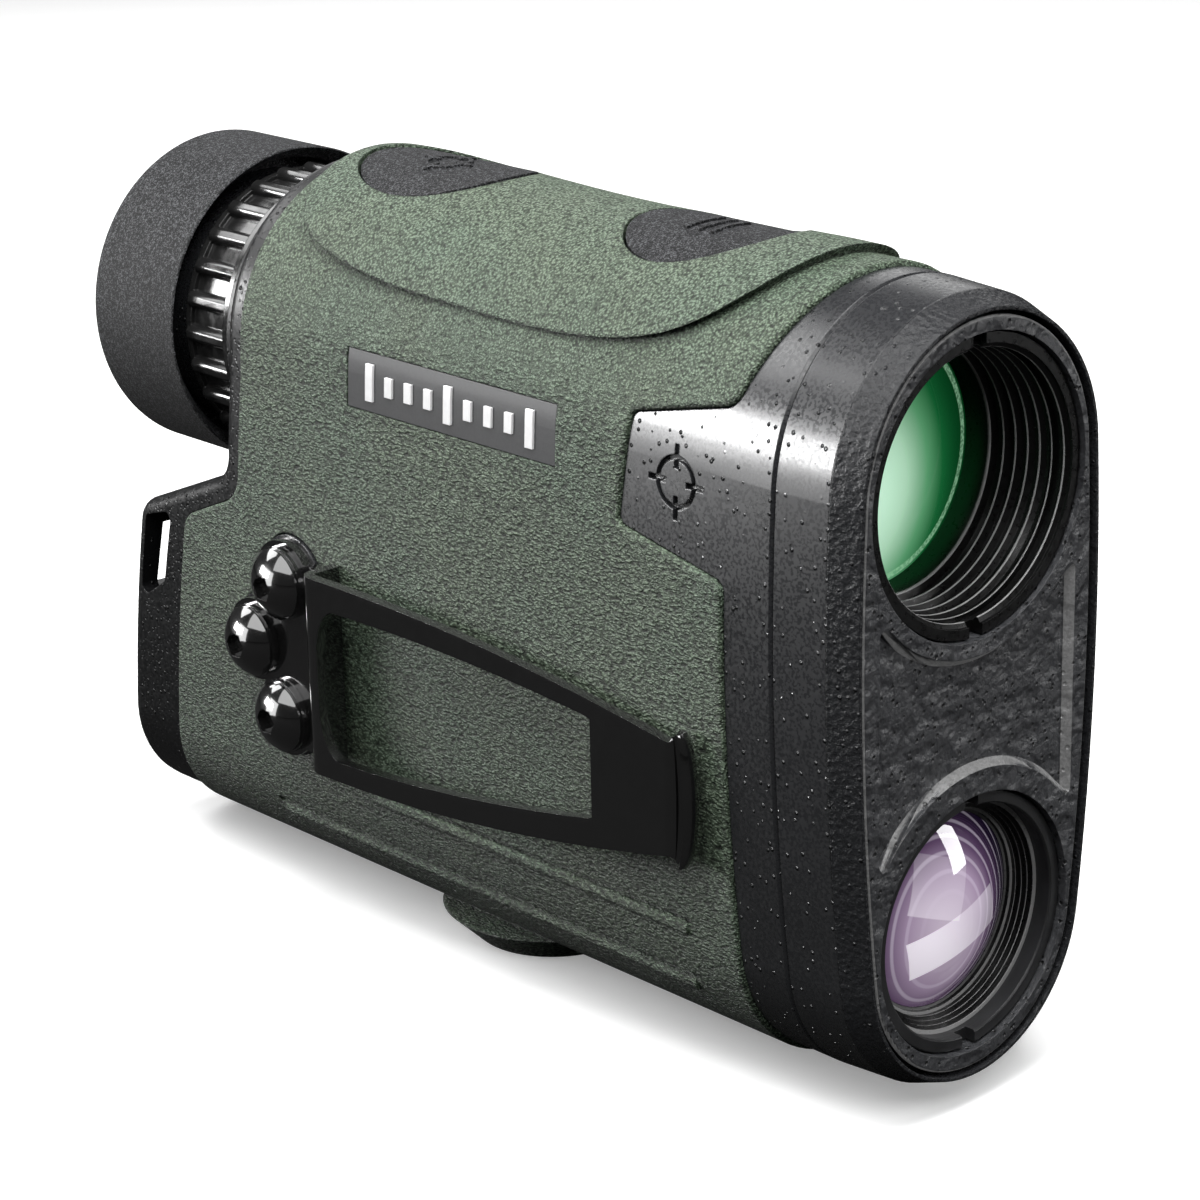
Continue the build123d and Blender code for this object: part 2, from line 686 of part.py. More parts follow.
def ocular_cell():
    """Sliding cell of the eyepiece lenses."""
    body = tube(11.2, 10.0, 25.0, 52.2) + tube(11.0, 8.6, 34.1, 43.0)
    return body - post(0.9, 70, 75, 0, PIN_Y)


def ocular_lens_front():
    """Field lens of the eyepiece."""
    return lens(9.97, 28.5, 34.0, 30.0)


def ocular_lens_rear():
    """Eye lens of the eyepiece."""
    return lens(9.97, 43.1, 48.0, 0.0, 26.0)


def ocular_lock_rings():
    """Rings that hold the two eyepiece lenses."""
    return Compound([tube(9.97, 8.8, 26.0, 28.0), tube(9.97, 8.8, 48.6, 50.4)])


def ocular_pin():
    """Pin that carries the ring's turn to the sliding cell."""
    return post(0.87, 72.4, 75.6, 0, PIN_Y)


def diopter_ring():
    """Ribbed focusing ring."""
    start, rib_start, rib_end, end = REAR_Y + 1.05, REAR_Y + 2.3, 44.6, 45.3
    ring = tube(14.9, 13.03, start, end) + tube(16.0, 14.0, start, rib_start + 0.2)
    ring += tube(15.4, 14.0, rib_end - 0.2, end)
    ribs = 26
    for index in range(ribs):
        rib = rod(0.95, rib_start, rib_end, OPTIC_Z + 15.05) & rod(15.95, rib_start, rib_end)
        ring += rib.rotate(Axis((0, 0, OPTIC_Z), (0, 1, 0)), 360 * (index + 0.5) / ribs)
    relief = FOCUS_TRAVEL + 1.1
    return ring - rod(13.9, PIN_Y - relief, PIN_Y + relief)


def eyecup_sleeve():
    """Hard sleeve bonded inside the eyecup."""
    profile = [(45.6, 13.03), (48.0, 13.03), (48.0, 13.93), (49.2, 13.93), (49.2, 13.03),
               (55.9, 13.03), (55.9, 11.9), (57.7, 11.9), (57.7, 14.5), (45.6, 14.5)]
    return turned(profile)


def eyecup_ring():
    """Friction ring that travels with the sleeve without turning."""
    return Pos(0, 48.6, OPTIC_Z) * Rot(90, 0, 0) * Torus(13.47, 0.42)


def eyecup():
    """Rubber eyecup with a hollow, coned front lip."""
    end = EYECUP_END_Y
    profile = [(44.9, 17.45), (46.9, 16.15), (50.5, 16.15), (50.5, 14.52), (57.75, 14.52),
               (57.75, 12.6), (end, 12.6), (end, 17.6), (45.05, 17.6)]
    cup = turned(profile)
    return fillet(edges_at_y(cup, end), 0.8)


# ---------------------------------------------------------------- controls

def push_button(button, crown):
    """Key that follows the crown, with a narrower stem through the chassis."""
    cap = oval(0, 0.0, 60, 90, button) & (crown - block(0.1, -60, 60))
    stem = oval(0, -1.4, 60, 90, button) & (block(0.4, -60, 60) - block(-2.2, -61, 61))
    stem = stem & brick(-20, 20, -60, 60, 75, 90)
    return (cap & brick(-20, 20, -60, 60, 75, 90)) + stem


def measure_button():
    """Rear key: fires the laser."""
    key = push_button(MEASURE_BUTTON, block(ARMOUR_PROUD + 0.9, -60, 60))
    y = MEASURE_BUTTON[0]
    mark = post(2.6, 79, 90, 0, y) - post(2.1, 78, 91, 0, y)
    for turn in range(4):
        bar = brick(-0.25, 0.25, y + 1.4, y + 3.6, 79, 90)
        mark += bar.rotate(Axis((0, y, 0), (0, 0, 1)), 90 * turn)
    return key + (mark & block(ARMOUR_PROUD + 1.15, -60, 60))


def menu_button():
    """Front key: steps through the settings."""
    key = push_button(MENU_BUTTON, block(ARMOUR_PROUD + 0.4, -60, 60))
    y = MENU_BUTTON[0]
    mark = brick(-2.6, 2.6, y - 0.3, y + 0.3, 79, 90)
    mark += brick(-2.6, 2.6, y - 2.0, y - 1.4, 79, 90) + brick(-2.6, 2.6, y + 1.4, y + 2.0, 79, 90)
    return key + (mark & block(ARMOUR_PROUD + 0.65, -60, 60))


def button_board():
    """Circuit strip under the two keys."""
    return brick(-6.2, 6.2, -31.5, 23.0, 74.0, 75.0)


def tact_switch(y):
    """Square tactile switch with its round actuator."""
    return brick(-3.0, 3.0, y - 3.0, y + 3.0, 75.02, 76.4) + post(1.6, 76.4, 77.15, 0, y)


def measure_switch():
    """Switch under the measuring key."""
    return tact_switch(MEASURE_BUTTON[0])


def menu_switch():
    """Switch under the menu key."""
    return tact_switch(MENU_BUTTON[0])


# ---------------------------------------------------------------- electronics and power

def board_screw_places():
    """Side-view positions of the main board's screws."""
    return [(y, z) for y in (-15.5, 15.5) for z in (19.0, 42.0)]


def main_board():
    """Main circuit board on the right wall, with its packages."""
    board = brick(10.5, 11.7, -18.0, 18.5, 15.0, 46.0)
    board += brick(9.4, 10.5, 10.0, 14.0, 26.0, 36.0) + brick(9.6, 10.5, -16.0, -11.0, 26.0, 34.0)
    for z in (17.5, 21.5):
        board += brick(9.0, 10.5, -6.0, 6.0, z, z + 2.2)
    for y, z in board_screw_places():
        board -= stud(0.8, 9, 13, y, z)
    return board


def shield_can():
    """Screening can over the timing processor."""
    return brick(8.3, 10.48, -8.5, 8.0, 26.5, 39.5) - brick(8.6, 11, -8.2, 7.7, 26.8, 39.2)


def board_screws():
    """Screws of the main board."""
    screws = [stud(1.5, 9.5, 10.47, y, z) + stud(0.75, 10.4, 13.0, y, z)
              for y, z in board_screw_places()]
    return Compound(screws)


def flex_cable():
    """Ribbon from the key strip to the main board."""
    half = 0.12
    path = ((6.25, 74.5), (10.1, 73.5), (12.4, 70.2), (12.4, 47.6), (11.85, 46.3), (11.85, 42.0))
    pieces = None
    for (x0, z0), (x1, z1) in zip(path, path[1:]):
        run = math.hypot(x1 - x0, z1 - z0)
        angle = math.degrees(math.atan2(z1 - z0, x1 - x0))
        strip = Box(run + 2 * half, 7.0, 2 * half)
        strip = Pos((x0 + x1) / 2, 0, (z0 + z1) / 2) * Rot(0, -angle, 0) * strip
        pieces = strip if pieces is None else pieces + strip
    return pieces & brick(6.25, 13, -3.5, 3.5, 42.0, 75)


def bay_turned(profile):
    """Solid of revolution on the battery bay's axis from (radius, depth) points."""
    face = Face(Wire.make_polygon([(radius, 0, depth) for radius, depth in profile]))
    return in_bay(revolve(face, Axis.Z, 360))


def battery_tube():
    """Moulded sleeve of the battery with a wide threaded mouth."""
    return bay_turned([(9.8, -2.4), (10.6, -2.4), (10.6, -4.2), (9.9, -4.2), (9.9, -8.0),
                       (9.0, -9.0), (9.0, -36.0), (0.0, -36.0), (0.0, -34.7), (8.0, -34.7),
                       (8.0, -8.0), (9.0, -7.2), (9.0, -3.2)])


def battery():
    """CR2 lithium cell."""
    top = -6.0
    foot = top - BATTERY_LENGTH
    return bay_turned([(0.0, top), (BATTERY_RADIUS - 0.6, top), (BATTERY_RADIUS, top - 0.6),
                       (BATTERY_RADIUS, foot + 1.4), (BATTERY_RADIUS - 0.7, foot + 0.7),
                       (3.2, foot + 0.7), (3.2, foot), (0.0, foot)])


def battery_contact():
    """Plated contact at the inner end of the sleeve."""
    return bay_turned([(0.0, -33.3), (7.0, -33.3), (7.0, -33.9), (7.9, -34.67), (6.8, -34.67),
                       (6.0, -33.9), (0.0, -33.9)])


def battery_spring():
    """Leaf spring between the battery and the cap's contact, bowed towards the battery."""
    half = [(0.0, -5.63), (2.2, -5.63), (4.7, -2.52), (6.2, -2.52),
            (6.2, -2.82), (4.85, -2.82), (2.35, -5.93), (0.0, -5.93)]
    side = Face(Wire.make_polygon([(x, 0, z) for x, z in half]))
    leaf = extrude(side + mirror(side, Plane.YZ), 2.0, dir=(0, 1, 0), both=True)
    return in_bay(leaf)


def cap_contact():
    """Contact disc inside the battery cap."""
    return bay_turned([(0.0, -2.1), (7.4, -2.1), (7.4, -2.5), (0.0, -2.5)])


def battery_cap():
    """Screw cap of the battery bay with a coin slot."""
    cap = bay_turned([(0.0, 0.0), (CAP_RADIUS - 0.5, 0.0), (CAP_RADIUS, -0.5), (CAP_RADIUS, -2.2),
                      (8.95, -2.2), (8.95, -6.8), (8.1, -6.8), (8.1, -2.05), (0.0, -2.05)])
    slot = extrude(SlotOverall(13.0, 1.8), -1.1)
    notches = None
    for index in range(20):
        cut = Cylinder(0.5, 2.0)
        cut = Rot(0, 0, 18 * index) * Pos(CAP_RADIUS + 0.15, 0, -0.4) * cut
        notches = cut if notches is None else notches + cut
    return cap - in_bay(slot) - in_bay(notches)


def cap_seal():
    """O-ring under the cap's head."""
    return in_bay(Pos(0, 0, -2.47) * Torus(9.25, 0.24))


# ---------------------------------------------------------------- fasteners and mounts

def tripod_bush():
    """Threaded brass bush of the tripod socket."""
    bush = post(5.5, 0.0, SOCKET_DEPTH + 1.5, 0, SOCKET_Y)
    bush -= post(SOCKET_RADIUS, -1, SOCKET_DEPTH, 0, SOCKET_Y)
    mouth = Pos(0, SOCKET_Y, 0.1) * Cone(SOCKET_RADIUS + 0.2, SOCKET_RADIUS, 0.2)
    return bush - mouth


def clip_inserts():
    """Threaded inserts of the clip screws."""
    return Compound([stud(2.8, -18.7, -13.2, y, z) - stud(2.03, -20, -12, y, z)
                     for y, z in CLIP_SCREWS])


def clip_washers():
    """Plain washers under the clip screws."""
    face = CLIP_SEAT_X - CLIP_THICKNESS
    return Compound([stud(4.0, face - 0.82, face - 0.02, y, z) - stud(2.1, -25, -15, y, z)
                     for y, z in CLIP_SCREWS])


def clip_screws():
    """M4 button-head socket screws of the clip."""
    seat = CLIP_SEAT_X - CLIP_THICKNESS - 0.84
    screws = []
    for y, z in CLIP_SCREWS:
        head = stud(3.8, seat - 2.2, seat, y, z) & (Pos(seat + 2.55, y, z) * Sphere(4.75))
        socket = extrude(Plane.YZ * Pos(y, z) * RegularPolygon(1.44, 6), -1.5)
        head -= Pos(seat - 0.9, 0, 0) * socket
        screws.append(head + stud(2.0, seat - 0.1, -13.4, y, z))
    return Compound(screws)


def clip_base():
    """Foot of the spring clip up to its bend."""
    outer = CLIP_SEAT_X - CLIP_THICKNESS
    wall_end = CLIP_BEND_Y + CLIP_THICKNESS
    foot = clip_plate_shape(outer, CLIP_THICKNESS, 0.0)
    foot += brick(outer, CLIP_SEAT_X, CLIP_BEND_Y, 24.0, CLIP_LOW_Z, CLIP_HIGH_Z - 0.6)
    foot += brick(CLIP_HINGE_X + 0.01, CLIP_SEAT_X, CLIP_BEND_Y, wall_end, CLIP_LOW_Z, CLIP_HIGH_Z)
    for y, z in CLIP_SCREWS:
        foot -= stud(2.15, -25, -15, y, z)
    return foot


def clip_arm():
    """Free arm of the spring clip with its window and inturned tip."""
    rear, tip = CLIP_BEND_Y + CLIP_THICKNESS, CLIP_TIP_Y
    sheet = clip_sheet(((CLIP_ARM_X, rear), (CLIP_ARM_X, CLIP_BEND_Y - 3.0),
                        (CLIP_TIP_X - 0.3, tip + 0.8), (CLIP_TIP_X + 0.7, tip - 0.3)))
    side = Wire([
        Line((0, rear, CLIP_LOW_Z), (0, rear, CLIP_HIGH_Z)),
        Spline((0, rear, CLIP_HIGH_Z), (0, -9.0, 41.4), (0, tip - 1, 37.4)),
        Line((0, tip - 1, 37.4), (0, tip - 1, 26.4)),
        Spline((0, tip - 1, 26.4), (0, -14.0, 22.7), (0, 3.0, 21.6), (0, rear, CLIP_LOW_Z)),
    ])
    arm = (sheet & across(Face(side))) - clip_window()
    wall = brick(CLIP_ARM_X, CLIP_HINGE_X - 0.01, CLIP_BEND_Y, rear, CLIP_LOW_Z, CLIP_HIGH_Z)
    return arm + wall + clip_lip()


def clip_lip():
    """Rounded lip across the tip of the clip, a little wider than the arm."""
    y, middle, half = CLIP_TIP_Y - 0.4, 31.6, 6.0
    lip = brick(-19.9, -19.0, y - 0.9, y + 0.9, middle - half, middle + half)
    for z in (middle - half, middle + half):
        lip += stud(0.9, -19.9, -19.0, y, z)
    return lip


def clip_sheet(path):
    """Bent strip of sheet metal, thickened inward from a plan path of (x, y) points."""
    pieces = None
    for (x0, y0), (x1, y1) in zip(path, path[1:]):
        run = math.hypot(x1 - x0, y1 - y0)
        angle = math.degrees(math.atan2(y1 - y0, x1 - x0))
        strip = Pos(0, CLIP_THICKNESS / 2, 31.0) * Box(run, CLIP_THICKNESS, 40.0)
        strip = Pos((x0 + x1) / 2, (y0 + y1) / 2, 0) * Rot(0, 0, angle) * strip
        pieces = strip if pieces is None else pieces + strip
    return pieces


def clip_window():
    """Cutter for the long opening of the clip arm."""
    edge = Wire([
        ThreePointArc((0, 12.4, 39.6), (0, 15.4, 33.0), (0, 12.4, 23.6)),
        Spline((0, 12.4, 23.6), (0, -6.0, 24.6), (0, -24.4, 28.0)),
        Line((0, -24.4, 28.0), (0, -25.0, 36.4)),
        Spline((0, -25.0, 36.4), (0, -8.0, 38.7), (0, 12.4, 39.6)),
    ])
    face = Face(edge)
    face = face.fillet_2d(1.5, face.vertices())
    return across(face, -40, -10)


def cap_screws():
    """Screws that hold the nose to the chassis, hidden by the face plate."""
    return Compound([rod(1.9, -52.0, -50.75, z, x) + rod(0.82, -50.8, -38.5, z, x)
                     for x, z in CAP_SCREWS])


def bezel_screws():
    """Countersunk screws of the rear bezel."""
    return Compound([rod(0.86, 42.5, 57.5, z, x) + rod(1.9, 57.45, 59.0, z, x)
                     for x, z in BEZEL_SCREWS])


NODES = (
    front_cap, face_plate, objective_ring, receiver_ring, main_housing, armour, name_badge,
    badge_inlay, rear_bezel, objective_tube, objective_lens, objective_lock_ring, objective_seal,
    receiver_barrel, receiver_lens, receiver_lock_ring, receiver_seal, detector, detector_board,
    prism_holder, prism_front, prism_rear, prism_screws, laser_diode, display_module,
    display_glass, eyepiece_tube, ocular_cell, ocular_lens_front, ocular_lens_rear,
    ocular_lock_rings, ocular_pin, diopter_ring, eyecup_sleeve, eyecup_ring, eyecup,
    measure_button, menu_button, button_board, measure_switch, menu_switch, main_board,
    shield_can, board_screws, flex_cable, battery_tube, battery, battery_contact,
    battery_spring, cap_contact, battery_cap, cap_seal, tripod_bush, clip_inserts,
    clip_washers, clip_screws, clip_base, clip_arm, cap_screws, bezel_screws,
)

os.makedirs("parts", exist_ok=True)
for build in NODES:
    export_step(Pos(0, -SOCKET_Y, 0) * build(), f"parts/{build.__name__}.step")
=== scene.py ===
import json
import math

import bmesh
import bpy
from mathutils import Euler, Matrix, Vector


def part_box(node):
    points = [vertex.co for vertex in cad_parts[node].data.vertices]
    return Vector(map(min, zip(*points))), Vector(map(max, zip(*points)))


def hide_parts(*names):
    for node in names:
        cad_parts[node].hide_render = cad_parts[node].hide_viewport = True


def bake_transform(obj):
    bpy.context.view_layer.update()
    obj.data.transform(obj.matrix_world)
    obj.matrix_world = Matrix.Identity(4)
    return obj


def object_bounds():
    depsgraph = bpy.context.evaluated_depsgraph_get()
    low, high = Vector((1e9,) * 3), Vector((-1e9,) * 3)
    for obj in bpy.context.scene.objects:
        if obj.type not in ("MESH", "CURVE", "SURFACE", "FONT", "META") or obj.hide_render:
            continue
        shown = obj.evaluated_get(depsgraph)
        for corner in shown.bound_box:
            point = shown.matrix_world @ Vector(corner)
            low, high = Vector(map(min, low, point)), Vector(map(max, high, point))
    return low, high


# A laser rangefinder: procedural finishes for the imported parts, the pressed belt clip and the studio.

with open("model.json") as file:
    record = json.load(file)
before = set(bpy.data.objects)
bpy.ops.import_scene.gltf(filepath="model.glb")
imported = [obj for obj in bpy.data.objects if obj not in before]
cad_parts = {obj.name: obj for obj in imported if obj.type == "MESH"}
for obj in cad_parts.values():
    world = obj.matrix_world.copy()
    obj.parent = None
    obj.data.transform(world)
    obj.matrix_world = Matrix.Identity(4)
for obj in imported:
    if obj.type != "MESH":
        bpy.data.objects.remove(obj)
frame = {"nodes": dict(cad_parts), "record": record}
cad_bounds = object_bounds()

MM = 0.001


def middle_level(node):
    """Height of a node's middle in millimetres."""
    low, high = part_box(node)
    return (low.z + high.z) / 2 / MM


# Stations along the sighting axis and levels of the object, in millimetres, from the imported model.
RIM_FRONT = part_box("front_cap")[0].y / MM
BEVEL_REAR = RIM_FRONT + 3.1
LENS_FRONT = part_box("objective_lens")[0].y / MM
OPTIC_Z = middle_level("objective_ring")
RECEIVER_Z = middle_level("receiver_ring")

# Crests of the objective's baffle fins: where they start, their radius there and how it narrows.
FIN_START = RIM_FRONT + 2.85
CREST_RADIUS = 12.765
CREST_NARROWING = 0.0643

# Steps of the receiver's barrel.
WELL_START = RIM_FRONT + 2.8
WELL_STEP = 0.48
WELL_LENGTH = 2.4

# Height at which the slanting grain of the flanks gives way to the round one of the crown.
GRAIN_CHANGE = (64.0, 74.0)


# ---------------------------------------------------------------- shader helpers

class Surface:
    """A Principled material with short calls for adding and linking its nodes."""

    def __init__(self, name, roughness=0.5, metallic=0.0):
        self.material = bpy.data.materials.new(name)
        self.material.use_nodes = True
        self.tree = self.material.node_tree
        self.shader = self.tree.nodes["Principled BSDF"]
        self.set("Roughness", roughness)
        self.set("Metallic", metallic)
        place = self.tree.nodes.new("ShaderNodeTexCoord").outputs["Object"]
        self.mm = self.vector("MULTIPLY", place, (1 / MM, 1 / MM, 1 / MM))
        self.relief = None

    def plug(self, socket, value):
        """Links a socket or sets a number or colour."""
        if isinstance(value, bpy.types.NodeSocket):
            self.tree.links.new(value, socket)
        else:
            socket.default_value = value

    def set(self, name, value):
        """Sets one of the shader's own inputs."""
        self.plug(self.shader.inputs[name], value)

    def node(self, kind, inputs, **settings):
        """Adds a node and fills its inputs, given by name or by number."""
        made = self.tree.nodes.new(kind)
        for key, value in settings.items():
            setattr(made, key, value)
        for key, value in inputs.items():
            self.plug(made.inputs[key], value)
        return made

    def math(self, operation, a, b=0.0):
        """One scalar operation."""
        return self.node("ShaderNodeMath", {0: a, 1: b}, operation=operation).outputs[0]

    def vector(self, operation, a, b=(0.0, 0.0, 0.0)):
        """One vector operation."""
        made = self.node("ShaderNodeVectorMath", {0: a, 1: b}, operation=operation)
        return made.outputs["Value" if operation in ("LENGTH", "DOT_PRODUCT") else "Vector"]

    def product(self, *factors):
        """Scalars multiplied together."""
        result = factors[0]
        for factor in factors[1:]:
            result = self.math("MULTIPLY", result, factor)
        return result

    def distance(self, x, z, squeeze=1.0):
        """Distance in millimetres from the line along the sighting axis at x, z."""
        offset = self.vector("SUBTRACT", self.mm, (x, 0.0, z))
        return self.vector("LENGTH", self.vector("MULTIPLY", offset, (1.0, 0.0, squeeze)))

    def axis(self, index):
        """One coordinate in millimetres."""
        return self.node("ShaderNodeSeparateXYZ", {0: self.mm}).outputs[index]

    def noise(self, size, detail=2.0, roughness=0.5, place=None):
        """Noise whose blotches are about size millimetres."""
        inputs = {"Vector": place or self.mm, "Scale": 1 / size, "Detail": detail, "Roughness": roughness}
        return self.node("ShaderNodeTexNoise", inputs).outputs[0]

    def cells(self, size, feature="F1", place=None, output="Distance"):
        """Cell pattern whose cells are about size millimetres."""
        inputs = {"Vector": place or self.mm, "Scale": 1 / size}
        return self.node("ShaderNodeTexVoronoi", inputs, feature=feature).outputs[output]

    def between(self, value, low, high, to_low=0.0, to_high=1.0):
        """Smooth step of value from low..high to to_low..to_high."""
        inputs = {0: value, 1: low, 2: high, 3: to_low, 4: to_high}
        made = self.node("ShaderNodeMapRange", inputs, interpolation_type="SMOOTHSTEP")
        return made.outputs[0]

    def mix(self, share, a, b):
        """Mixed colour, a at share 0 and b at share 1."""
        made = self.node("ShaderNodeMix", {0: share, 6: a, 7: b}, data_type="RGBA")
        return made.outputs[2]

    def ramp(self, value, *stops):
        """Colour ramp from (position, colour) stops."""
        made = self.node("ShaderNodeValToRGB", {0: value})
        band = made.color_ramp
        while len(band.elements) < len(stops):
            band.elements.new(0.5)
        for element, (position, colour) in zip(band.elements, stops):
            element.position = position
            element.color = (*colour, 1.0)
        return made.outputs[0]

    def mottle(self, pattern, dark, pale):
        """Base colour that follows a noise pattern between two colours."""
        self.set("Base Color", self.mix(pattern, rgba(dark), rgba(pale)))

    def polish(self, pattern, low, high):
        """Roughness that follows a noise pattern from low to high."""
        self.set("Roughness", self.between(pattern, 0.3, 0.7, low, high))

    def glow(self, colour, strength):
        """Light of its own colour that only the camera sees."""
        seen = self.node("ShaderNodeLightPath", {}).outputs["Is Camera Ray"]
        self.set("Emission Color", colour)
        self.set("Emission Strength", self.math("MULTIPLY", seen, strength))

    def bump(self, height, depth):
        """Adds a relief of depth millimetres to the surface's normal."""
        inputs = {"Height": height, "Distance": depth * MM, "Strength": 1.0}
        if self.relief:
            inputs["Normal"] = self.relief
        self.relief = self.node("ShaderNodeBump", inputs).outputs[0]
        self.set("Normal", self.relief)

    def soften(self, radius):
        """Rounds sharp edges in the shading; call it before bump()."""
        self.relief = self.node("ShaderNodeBevel", {"Radius": radius * MM}, samples=6).outputs[0]
        self.set("Normal", self.relief)


def grey(level, tint=0.0):
    """Linear grey, with a little blue if tint is above 0."""
    return (level * (1 - tint), level * (1 - tint / 2), level * (1 + tint))


def rgba(colour):
    """Colour with full alpha."""
    return (*colour, 1.0)


# ---------------------------------------------------------------- materials of the outside

def armour_rubber():
    """Sage green rubber with a fine slanting leather grain, painted darker in its valleys as shade and
    paler on its tops as highlight.
    """
    made = Surface("armour_rubber", roughness=0.62)
    made.soften(0.4)
    turned = made.node("ShaderNodeMapping", {
        "Vector": made.mm, "Rotation": (math.radians(20), 0.0, 0.0), "Scale": (1.0, 0.6, 1.0),
    }).outputs[0]
    drift = made.node("ShaderNodeTexNoise", {"Vector": turned, "Scale": 2.2, "Detail": 1.0}).outputs[1]
    wandering = made.vector("ADD", turned, made.vector("MULTIPLY", drift, (0.5, 0.5, 0.5)))
    slanted = made.cells(0.27, "SMOOTH_F1", wandering)
    granular = made.cells(0.26, "SMOOTH_F1")
    crown = made.between(made.axis(2), *GRAIN_CHANGE)
    grain = made.mix(crown, slanted, granular)
    fine = made.noise(0.16, 3.0)
    height = made.math("SUBTRACT", made.product(fine, 0.7), grain)
    tops = made.between(height, -0.45, 0.2)
    # Grain colour with painted light: dark valleys as painted shade, pale tops as painted highlight.
    grain_with_painted_shade = made.ramp(
        tops,
        (0.0, (0.010, 0.014, 0.009)), (0.3, (0.037, 0.052, 0.034)),
        (0.75, (0.064, 0.090, 0.060)), (1.0, (0.17, 0.225, 0.162)),
    )
    patches = made.noise(14.0, 3.0)
    warm = made.mix(made.between(patches, 0.35, 0.65), rgba((0.97, 1.0, 0.99)), rgba((1.02, 1.0, 0.97)))
    tinted = made.node("ShaderNodeMix", {0: 1.0, 6: grain_with_painted_shade, 7: warm}, data_type="RGBA", blend_type="MULTIPLY")
    made.set("Base Color", tinted.outputs[2])
    made.set("Roughness", made.between(tops, 0.0, 1.0, 0.72, 0.45))
    made.set("Specular IOR Level", 0.35)
    made.bump(height, 0.32)
    made.bump(made.noise(1.6, 2.0), 0.05)
    return made.material


def cast_polymer(name, bumps=1.0, pits=0.0, roughness=0.27, level=0.019):
    """Black moulded polymer with scattered raised specks and, where wanted, dense pits."""
    made = Surface(name, roughness=roughness)
    made.soften(0.16)
    speck_spacing = 1.0
    clusters = made.between(made.noise(5.0, 2.0), 0.32, 0.55)
    spots = made.between(made.cells(speck_spacing), 0.06, 0.24, 1.0, 0.0)
    chosen = made.between(made.cells(speck_spacing, output="Color"), 0.34, 0.38)
    specks = made.product(spots, chosen, clusters)
    fine = made.noise(0.35, 3.0)
    shade = made.mix(made.noise(9.0, 4.0), rgba(grey(level * 0.85, 0.06)), rgba(grey(level * 1.2, 0.06)))
    made.set("Base Color", made.mix(specks, shade, rgba(grey(level * 1.6, 0.04))))
    made.polish(fine, roughness - 0.06, roughness + 0.1)
    made.bump(made.product(specks, bumps), 0.34)
    made.bump(fine, 0.003 + 0.02 * pits)
    if pits:
        holes = made.between(made.cells(0.55), 0.08, 0.34, 0.0, 1.0)
        made.bump(made.product(holes, pits), 0.06)
    return made


def nose_polymer():
    """Polymer of the nose: smooth behind, rough and pitted on the bevelled rim."""
    made = cast_polymer("nose_polymer", 0.8)
    band = made.between(made.axis(1), BEVEL_REAR - 0.12, BEVEL_REAR + 0.05, 1.0, 0.0)
    rough = made.math("ADD", made.noise(0.5, 4.0, 0.65), made.product(made.cells(0.7), 0.6))
    made.bump(made.product(rough, band), 0.16)
    made.set("Specular IOR Level", made.between(band, 0.0, 1.0, 0.5, 0.22))
    return made.material


def housing_polymer():
    """Polymer of the chassis."""
    return cast_polymer("housing_polymer", 1.2).material


def bezel_polymer():
    """Polymer of the rear shell, with denser pits."""
    made = cast_polymer("bezel_polymer", 0.9, pits=0.7, roughness=0.36, level=0.006)
    made.set("Specular IOR Level", 0.25)
    return made.material


def face_polymer():
    """Satin front plate with fine dark pits; the sloping edges round its sunk field carry painted light, a
    pale colour and a glow of their own.
    """
    made = Surface("face_polymer", roughness=0.4)
    facing = made.node("ShaderNodeNewGeometry", {}).outputs["True Normal"]
    forward = made.math("ABSOLUTE", made.vector("DOT_PRODUCT", facing, (0.0, 1.0, 0.0)))
    tilted = made.between(forward, 0.88, 0.95, 1.0, 0.0)
    slope = made.product(tilted, made.between(forward, 0.4, 0.5))
    made.soften(0.14)
    pores = made.between(made.cells(0.95), 0.08, 0.28, 0.0, 1.0)
    fine = made.noise(0.5, 4.0, 0.6)
    mottled = made.mix(fine, rgba(grey(0.018, 0.05)), rgba(grey(0.066, 0.05)))
    flat = made.mix(pores, rgba(grey(0.006)), mottled)
    # Painted light on the sloping edges, picked by the way they face: a pale colour and a glow that every
    # ray sees.
    painted_slope_light = made.mix(made.noise(0.25, 2.0), rgba(grey(0.07)), rgba(grey(0.2)))
    made.set("Base Color", made.mix(slope, flat, painted_slope_light))
    made.set("Emission Color", painted_slope_light)
    made.set("Emission Strength", made.product(slope, 0.35))
    made.polish(fine, 0.32, 0.48)
    made.bump(made.product(pores, made.between(made.noise(3.0), 0.35, 0.6)), 0.22)
    made.bump(fine, 0.12)
    return made.material


def speckled_rubber():
    """Dark grey rubber of the eyecup and keys, with fine pale specks."""
    made = Surface("grip_rubber", roughness=0.75)
    level = 0.003
    made.soften(0.12)
    fine = made.noise(0.16, 3.0, 0.7)
    coarse = made.noise(0.4, 2.0)
    dust = made.between(made.math("ADD", fine, made.product(coarse, 0.4)), 0.70, 0.82)
    made.set("Specular IOR Level", 0.2)
    base = made.mix(made.noise(7.0, 3.0), rgba(grey(level, 0.08)), rgba(grey(level * 1.35, 0.08)))
    made.set("Base Color", made.mix(dust, base, rgba(grey(0.085, 0.04))))
    made.bump(fine, 0.06)
    return made.material


def anodised():
    """Black anodised aluminium with faint turning marks about the sighting axis."""
    made = Surface("black_aluminium", roughness=0.34)
    made.soften(0.06)
    lathe = made.node("ShaderNodeMapping", {"Vector": made.mm, "Scale": (0.15, 6.0, 0.15)}).outputs[0]
    marks = made.noise(1.0, 2.0, 0.5, lathe)
    made.mottle(made.noise(2.0), grey(0.012), grey(0.0228, 0.05))
    made.polish(marks, 0.28, 0.44)
    made.bump(marks, 0.006)
    made.bump(made.noise(0.3, 3.0), 0.012)
    return made.material


